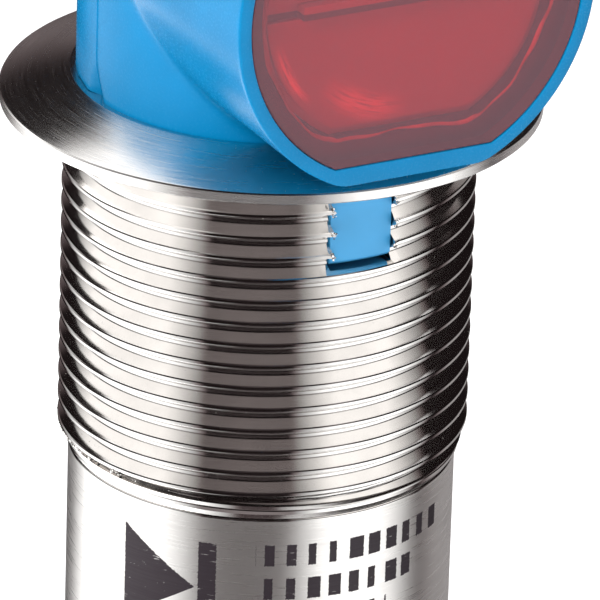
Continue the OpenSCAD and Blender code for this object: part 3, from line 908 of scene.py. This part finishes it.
def adhesive_bead(material):
    """The wavy bead of adhesive squeezed out along the ledge behind the window."""
    shape = Shape()
    outline = both_sides(flat_outline(CLEAR_R, CLEAR_FLAT, 1.4, arc=150, bend=16, flat=24)[0])
    count = len(outline)
    rows = []
    for k, (x, z) in enumerate(outline):
        px, pz = outline[k - 1]
        nx, nz = outline[(k + 1) % count]
        tx, tz = nx - px, nz - pz
        length = hypot(tx, tz) or 1.0
        ox, oz = -tz / length, tx / length
        if ox * x + oz * (z - AXIS_Z) < 0:
            ox, oz = -ox, -oz
        turn = tau * k / count
        wave = 0.07 * sin(5 * turn + 0.8) + 0.05 * sin(11 * turn + 2.0) + 0.03 * sin(23 * turn)
        width = 0.075 + 0.03 * sin(7 * turn + 1.0) + 0.015 * sin(17 * turn)
        middle_y = WINDOW_BACK + 0.035
        row = []
        for s in range(8):
            a = tau * s / 8
            off = wave + width * cos(a)
            row.append((x + ox * off, middle_y + 0.032 * sin(a), z + oz * off))
        rows.append(row)
    rows.append(rows[0])
    shape.grid(rows, wrap=True)
    return shape.build("adhesive_bead", [material], BODY, ["window_adhesive"], sharp=60.0)


# ---- adjuster and indicators ----


def spindle(white):
    """The adjuster's screw head with a chamfered rim, a driver slot and a pointer mark, and its shaft."""
    shape = Shape()
    front, back = SPINDLE_HIGH.y, SPINDLE_LOW.y
    r, shaft_r = ADJUSTER_R, 1.1
    head_back = PANEL_INNER_Y + 0.05
    rim = 0.12
    slot_half, slot_len, slot_deep = 0.3, 1.35, 0.6
    point_half, point_low, point_high, point_deep = 0.8, 0.7, 1.05, 0.3
    profile = [(r - rim, front), (r - rim * 0.3, front - rim * 0.3), (r, front - rim), (r, head_back),
               (shaft_r, head_back), (shaft_r, back)]
    shape.grid(along_y(profile, 0, ADJUSTER_Z, 64), wrap=True)

    def face(loops, y):
        shape.fill(loops, lambda u, v: (u, y, v))

    def wall(loop, deep):
        shape.grid([[(u, y, v) for u, v in loop] for y in (front, front - deep)], wrap=True)

    face([circle(0, ADJUSTER_Z, shaft_r, 64)], back)
    quarter = [(slot_half, point_low), (point_half, point_low), (point_half, point_high),
               (slot_half, point_high)]
    cross = [(-slot_half, -slot_len), (slot_half, -slot_len)] + quarter + [(slot_half, slot_len)]
    cross += [(-u, v) for u, v in [(slot_half, slot_len)] + quarter[::-1]]
    cross = [(u, v + ADJUSTER_Z) for u, v in cross]
    face([circle(0, ADJUSTER_Z, r - rim, 64), cross], front)
    wall(cross, point_deep)
    slot = [(u * slot_half, ADJUSTER_Z + v * slot_len) for u, v in ((-1, -1), (1, -1), (1, 1), (-1, 1))]
    face([cross, slot], front - point_deep)
    shape.grid([[(u, front - deep, v) for u, v in slot] for deep in (point_deep, slot_deep)], wrap=True)
    face([slot], front - slot_deep)
    return shape.build("adjuster_screw", [white], ADJUSTER, ["adjuster_spindle"],
                       sharp=30.0)


def light_guide(name, material, node):
    """A light guide with a slightly domed end and a collar behind the panel."""
    low, high = box(node)
    cx = (low.x + high.x) / 2
    shape = Shape()
    crown_h, collar_r = 0.16, 1.4
    lifts = (0, 0.5, 1.0, 1.3, pi / 2)
    profile = [(0, low.y), (collar_r, low.y), (collar_r, PANEL_INNER_Y), (GUIDE_R, PANEL_INNER_Y)]
    profile += [(GUIDE_R * cos(a), high.y - crown_h + crown_h * sin(a)) for a in lifts]
    shape.grid(along_y(profile, cx, GUIDE_Z, 48), wrap=True)
    return shape.build(name, [material], BODY, [node], sharp=35.0)


# ---- rear housing and connector ----


def rear_end(blue):
    """The rear housing: a collar as wide as the barrel with round edges and a moulded groove."""
    r, top, low = REAR_HIGH.x, SLEEVE_LOW.z, REAR_LOW.z
    seal_r = 6.35
    bore_r, groove = 5.2, 0.12
    profile = [(bore_r, REAR_HIGH.z), (SPIGOT_R, REAR_HIGH.z), (SPIGOT_R, top + 2.7), (seal_r, top + 2.7),
               (seal_r, top + 1.7), (SPIGOT_R, top + 1.7), (SPIGOT_R, top), (r - 0.05, top), (r, top - 0.05),
               (r, top - 1.1), (r - groove, top - 1.18), (r - groove, top - 1.5), (r, top - 1.58),
               (r, low + 0.95), (r - 0.06, low + 0.7), (r - 0.25, low + 0.42), (r - 0.55, low + 0.12),
               (r - 0.85, low), (bore_r, low)]
    return lathe("rear_collar", profile, blue, ["rear_housing"], count=160)


def connector(metal):
    """The connector shell with a helical thread that starts and ends in a chamfer."""
    shape = Shape()
    r = mount("m12_connector")["dims"]["r_mm"]
    low = SHELL_LOW.z
    rear = REAR_LOW.z
    top = rear - 2.0
    bottom = low + 0.45
    relief_r = 5.3
    bore_r = 4.4
    count = 128
    angles = [-pi + tau * k / count for k in range(count + 1)]

    def ring(radius, z):
        return [around(a, radius, z) for a in angles]

    rows = []
    for k in range(int((top - bottom) / PITCH) + 3):
        for drop in THREAD_DROPS:
            row = []
            for a in angles:
                shift = PITCH * a / tau
                u = top + 1.0 - k * PITCH - drop
                z = min(top, max(bottom, u + shift))
                limit = r - max(0.0, z - (top - 0.5)) - max(0.0, (bottom + 0.15 - z))
                row.append(around(a, min(r - thread_depth_at(z - shift, top), limit), z))
            rows.append(row)
    shape.grid(rows)
    head = ((bore_r, SHELL_HIGH.z), (5.15, SHELL_HIGH.z), (5.15, rear), (6.5, rear), (6.6, rear - 0.1),
            (6.6, rear - 1.1), (6.5, rear - 1.2), (relief_r, rear - 1.2), (relief_r, top))
    shape.grid([ring(*at) for at in head] + [rows[0]])
    tail = ((r - 0.55, low + 0.03), (r - 0.6, low), (bore_r + 0.2, low), (bore_r, low + 0.2),
            (bore_r, SHELL_HIGH.z))
    shape.grid([rows[-1]] + [ring(*at) for at in tail])
    return shape.build("plug_shell", [metal], BODY, ["connector_shell"], sharp=14.0,
                       weld=0.001)


# ---- materials of this object ----


def laser_marks(g, angle, z):
    """Plain laser marking on the barrel: a light-source sign and rows of dashes."""
    s = g.times(angle, PLAIN_R)
    wobble = g.times(g.minus(g.local(14.0, 3.0, 0.6), 0.5), 0.12)
    s = g.plus(s, wobble)
    z = g.plus(z, wobble)

    def slab(value, low, high):
        return g.times(g.above(value, low), g.under(value, high))

    def bar(s0, s1, z0, z1):
        return g.times(slab(s, s0, s1), slab(z, z0, z1))

    # a triangle that points along the barrel with a bar at its tip
    left, mid_z = -10.4, -19.6
    lean = g.times(g.minus(s, left), 0.62)
    upper = g.under(g.plus(g.apart(z, mid_z), lean), 2.2)
    parts = [g.times(upper, g.above(s, left)), bar(-6.7, -5.9, -21.8, -17.4)]
    # dashes of uneven length, in three rows
    for row, (z0, z1) in enumerate(((-18.3, -17.3), (-19.9, -18.9), (-21.5, -20.5))):
        cells = g.math("FLOOR", g.times(s, 1.05))
        share = g.math("FRACT", g.times(g.math("SINE", g.times(g.plus(cells, 3.1 * row + 1.0), 12.99)), 43.7))
        part = g.math("FRACT", g.times(s, 1.05))
        dash = g.under(part, g.plus(0.35, g.times(share, 0.4)))
        parts.append(g.times(dash, bar(-4.2, 5.6 - 1.8 * row, z0, z1)))
    mask = parts[0]
    for item in parts[1:]:
        mask = g.math("MAXIMUM", mask, item)
    worn = g.span(g.noise(g.scaled(g.place()[0], (1, 1, 6)), 1.2, 5.0, 0.7), 0.3, 0.36)
    return g.times(mask, worn)


def red_glass():
    """Clear red plastic: it tints what is behind it and mirrors the room a little."""
    g = Graph("red_window")
    g.material.blend_method = "BLEND"
    clear = g.node("ShaderNodeBsdfTransparent", Color=(0.86, 0.17, 0.16))
    g.set(Base_Color=(0.5, 0.33, 0.4), Roughness=0.06)
    mixed = g.node("ShaderNodeMixShader", i0=0.16, i1=clear.outputs[0], i2=g.shader.outputs[0])
    g.feed(g.tree.nodes["Material Output"].inputs["Surface"], mixed.outputs[0])
    return g.material


def tinted(name, colour, alpha, rough=0.1):
    """Translucent plastic or film."""
    g = Graph(name)
    cloud = g.local(0.8, 3.0, 0.5)
    return g.set(Base_Color=g.blend(cloud, colour, [c * 0.85 for c in colour]), Roughness=rough, Alpha=alpha)


def off_axis(g):
    """Distance from the optical axis, and the angle round it in degrees."""
    _, x, _, z = g.place()
    rise = g.minus(z, AXIS_Z)
    distance = g.math("SQRT", g.plus(g.times(x, x), g.times(rise, rise)))
    return distance, g.math("DEGREES", g.math("ARCTAN2", rise, x))


# Painted lens glints: distance from the optical axis and angle of the arc's and the patch's middle
ARC_AT = (6.02, -151.0)
PATCH_AT = (5.0, -112.0)
GLINT_GLOW = 0.35


def painted_lens_glints(g, distance, angle):
    """Painted highlights where the curved lens faces would catch the light: an arc at the left and a patch
    below, in streaks.
    """
    streaks = g.noise(g.vector(g.times(distance, 9.0), g.times(angle, 0.06), 0.0), 1.0, 2.0, 0.5)
    arc = g.times(g.span(g.apart(distance, ARC_AT[0]), 0.3, 0.05),
                  g.span(g.apart(angle, ARC_AT[1]), 17.0, 6.0))
    patch = g.times(g.span(g.apart(distance, PATCH_AT[0]), 0.75, 0.2),
                    g.span(g.apart(angle, PATCH_AT[1]), 26.0, 8.0))
    both = g.math("MAXIMUM", arc, g.times(patch, 0.75))
    return g.times(both, g.span(streaks, 0.36, 0.5))


def film():
    """Polarising film, almost opaque here, with painted glints of the lens behind it: a brighter tone and a
    weak glow.
    """
    g = Graph("film")
    distance, angle = off_axis(g)
    cloud = g.local(0.4, 2.0, 0.5)
    tone = g.blend(cloud, (0.6, 0.57, 0.6), (0.5, 0.48, 0.5))
    # painted highlight: a brighter tone and a weak glow where the lens glints fall
    lit = painted_lens_glints(g, distance, angle)
    tone = g.blend(lit, tone, (1.0, 0.8, 0.7))
    return g.set(Base_Color=tone, Roughness=0.4, Alpha=0.97, Emission_Color=(1, 0.9, 0.8),
                 Emission_Strength=g.times(lit, GLINT_GLOW))


def carrier_black():
    """Black plastic whose rim and bar top are coloured pale grey, so that they look like the film beside
    them.
    """
    g = Graph("carrier_plastic")
    distance, _ = off_axis(g)
    z = g.place()[3]
    rim = g.math("MAXIMUM", g.span(distance, 6.25, 6.35), g.under(z, FILM_LOW + 0.05))
    rim = g.math("MAXIMUM", rim, g.above(z, AXIS_Z - 0.02))
    return g.set(Base_Color=g.blend(rim, (0.03, 0.03, 0.032), (0.55, 0.52, 0.55)), Roughness=0.5)


def bead_glue():
    """Clear adhesive with a painted highlight at the lower right that fades into the rest at the left."""
    g = Graph("adhesive")
    _, angle = off_axis(g)
    # painted highlight: the colour is brighter round -48 degrees about the optical axis
    lit = g.span(g.apart(angle, -48.0), 95.0, 30.0)
    uneven = g.span(g.local(0.9, 3.0, 0.5), 0.3, 0.65)
    lit = g.times(lit, uneven)
    return g.set(Base_Color=g.blend(lit, (0.42, 0.36, 0.38), (1.0, 0.6, 0.5)), Roughness=0.3)


def board_green():
    """Solder mask with faint copper tracks under it."""
    g = Graph("circuit_board")
    place = g.place()[0]
    cells = g.noise(g.scaled(place, (1, 1, 0.4)), 1.6, 1.0, 0.2)
    track = g.span(g.math("FRACT", g.times(cells, 9.0)), 0.42, 0.5)
    tone = g.blend(track, (0.02, 0.13, 0.05), (0.05, 0.22, 0.08))
    return g.set(Base_Color=tone, Roughness=0.35, Normal=g.bump(track, 0.02 * MM, 0.4))


def paint(nodes, material):
    """Gives CAD nodes that stay as they are their material."""
    for name in nodes:
        made = frame["nodes"][name]
        made.data.materials.clear()
        made.data.materials.append(material)


# ---- stage ----


def stage_plane(name, corners, material):
    mesh = bpy.data.meshes.new(name)
    mesh.from_pydata([tuple(c * MM for c in p) for p in corners], [], [(0, 1, 2, 3)])
    mesh.materials.append(material)
    made = bpy.data.objects.new(name, mesh)
    link(made)
    return made


def area_light(name, place, aim, size, power, tint=(1, 1, 1)):
    """A softbox at a place in mm that faces a point, with its width and height."""
    data = bpy.data.lights.new(name, "AREA")
    data.shape = "RECTANGLE"
    data.size, data.size_y = size[0] * MM, size[1] * MM
    data.energy = power
    data.color = tint
    made = bpy.data.objects.new(name, data)
    turn = (Vector(aim) - Vector(place)).to_track_quat("-Z", "Y").to_matrix().to_4x4()
    made.matrix_world = Matrix.Translation(Vector(place) * MM) @ turn
    link(made)
    return made


def camera():
    data = bpy.data.cameras.new("camera")
    data.sensor_width = 36
    data.lens = CAMERA_LENS
    data.clip_end = 10
    made = bpy.data.objects.new("camera", data)
    back = CAMERA_BACK.normalized()
    right = Vector((0, 0, 1)).cross(back).normalized()
    up = back.cross(right)
    roll = radians(CAMERA_ROLL)
    across = cos(roll) * right + sin(roll) * up
    over = cos(roll) * up - sin(roll) * right
    turn = Matrix((across, over, back)).transposed().to_4x4()
    made.matrix_world = Matrix.Translation(CAMERA_PLACE * MM) @ turn
    link(made)
    bpy.context.scene.camera = made


def patchwork(g, turn, along, patches, base=0.0):
    """The brightest of some soft-edged patches at an azimuth in degrees and a distance along.

    A patch is (azimuth, half width, its softness, start, end, its softness, strength)."""
    total = base
    for azimuth, half, soft, start, end, fade, strength in patches:
        away = g.math("ABSOLUTE", g.math("WRAP", g.minus(turn, azimuth), 180.0, -180.0))
        across = g.span(away, half + soft / 2, half - soft / 2)
        starts = g.span(along, start - fade / 2, start + fade / 2)
        up = g.times(starts, g.span(along, end + fade / 2, end - fade / 2))
        total = g.math("MAXIMUM", total, g.times(g.times(across, up), strength))
    return total


def azimuth_of(g, x, y):
    """Azimuth in degrees: 0 is -Y and it grows towards +X."""
    return g.math("DEGREES", g.math("ARCTAN2", x, g.times(y, -1.0)))


def room(patches, base):
    """A dim room with soft white cards, each placed by its azimuth and elevation."""
    world = bpy.data.worlds.new("room")
    world.use_nodes = True
    bpy.context.scene.world = world
    g = Graph("room", world.node_tree)
    split = g.node("ShaderNodeSeparateXYZ", Vector=g.node("ShaderNodeTexCoord").outputs["Generated"])
    turn = azimuth_of(g, split.outputs[0], split.outputs[1])
    lift = g.math("DEGREES", g.math("ARCSINE", split.outputs[2]))
    total = patchwork(g, turn, lift, patches, base)
    background = world.node_tree.nodes["Background"]
    g.feed(background.inputs["Color"], g.blend(g.span(total, base, 0.5), (1.0, 0.72, 0.74), (1, 1, 1)))
    g.feed(background.inputs["Strength"], total)


# The room's cards: azimuth, half width, its softness, start and end elevation, its softness, strength
CARDS = [
    (180, 75, 4, 44, 91, 4, 1.7), (80, 60, 20, 50, 91, 10, 1.1), (0, 200, 1, 62, 91, 20, 0.45),  # overhead
    (168, 40, 14, -6, 12, 12, 0.2),  # low behind
    (-116, 42, 28, -78, 14, 12, 1.9), (33, 31, 28, -78, 14, 12, 1.9),  # left and right of the barrel
    (-40, 75, 20, -60, -29, 6, 0.3), (-40, 75, 20, -91, -62, 6, 0.08),  # below the camera
    (122, 34, 16, -34, -13, 6, 0.4), (-172, 42, 12, -75, -31, 4, 4.0),  # low, seen mirrored in the flange
]
ROOM_GLOW = 0.012


def studio():
    """Pale floor, soft cards left, right and overhead, and a soft key light."""
    g = Graph("floor")
    g.set(Base_Color=(0.95, 0.95, 0.95), Roughness=0.9, Emission_Color=(1, 1, 1), Emission_Strength=0.25)
    floor_z = SHELL_LOW.z
    reach = 3000
    corners = [(x * reach, y * reach, floor_z) for x, y in ((-1, -1), (1, -1), (1, 1), (-1, 1))]
    floor = stage_plane("floor", corners, g.material)
    floor.visible_glossy = False
    floor.visible_shadow = False
    room(CARDS, ROOM_GLOW)
    key = area_light("key", (-300, -160, 330), (0, 0, 0), (220, 220), 2.85)
    key.visible_glossy = False
    bpy.context.scene.view_settings.view_transform = "Standard"


# ---- build ----

nickel = turned_metal("nickel_barrel", (0.75, 0.73, 0.71), 0.11, laser_marks, barrel_finish)
nickel_plain = turned_metal("nickel_plug", (0.75, 0.73, 0.71), 0.16)
blue = plastic("blue_plastic", (0.0, 0.2, 0.44), 0.26, shine=0.16)
# The tab's blue is a lighter copy of the head's blue plastic: painted light for the light the tab catches in
# the key slot.
tab_blue_painted_light = plastic("blue_tab_painted_light", (0.06, 0.42, 0.82), 0.45)
white = plastic("white_plastic", (0.72, 0.72, 0.69), 0.4)
black = plastic("black_plastic", (0.02, 0.02, 0.022), 0.5)
rubber = plastic("rubber", (0.02, 0.02, 0.02), 0.7)
epoxy = plastic("epoxy", (0.025, 0.025, 0.028), 0.45)

sleeve(nickel)
head_front(blue)
head_spigot(tab_blue_painted_light)
rear_cover(blue)
window_plate(red_glass())
adhesive_bead(bead_glue())
spindle(white)
light_guide("guide_green", tinted("guide_green", (0.2, 0.75, 0.3), 0.85), "power_light_guide")
light_guide("guide_yellow", tinted("guide_yellow", (0.95, 0.7, 0.12), 0.85),
            "switching_light_guide")
rear_end(blue)
connector(nickel_plain)

paint(["optics_carrier"], carrier_black())
paint(["contact_carrier"], black)
paint(["emitter_lens", "receiver_lens"], tinted("lens", (0.85, 0.87, 0.9), 0.4, 0.05))
paint(["emitter_polariser", "receiver_polariser"], film())
board = board_green()
paint(["optics_board", "indicator_board", "main_board"], board)
paint(["emitter_led"], tinted("red_led", (0.75, 0.1, 0.07), 0.9))
paint(["power_led"], plastic("green_led", (0.2, 0.7, 0.25)))
paint(["switching_led"], plastic("yellow_led", (0.95, 0.7, 0.1)))
paint(["receiver_photodiode", "signal_chip", "output_driver", "potting_plug"], epoxy)
paint(["adjuster_body"], plastic("trimmer_blue", (0.05, 0.12, 0.45), 0.5))
paint(["adjuster_seal", "head_seal_ring", "rear_seal_ring", "connector_seal_ring"], rubber)
paint(["board_link"], plastic("flex", (0.55, 0.27, 0.05), 0.35))
paint(["buffer_capacitor"], turned_metal("can", (0.8, 0.8, 0.82), 0.3))
paint(["chip_resistors"], plastic("chips", (0.08, 0.07, 0.06), 0.4))
paint(["contact_pins"], turned_metal("gold", (0.9, 0.66, 0.28), 0.22))

camera()
studio()
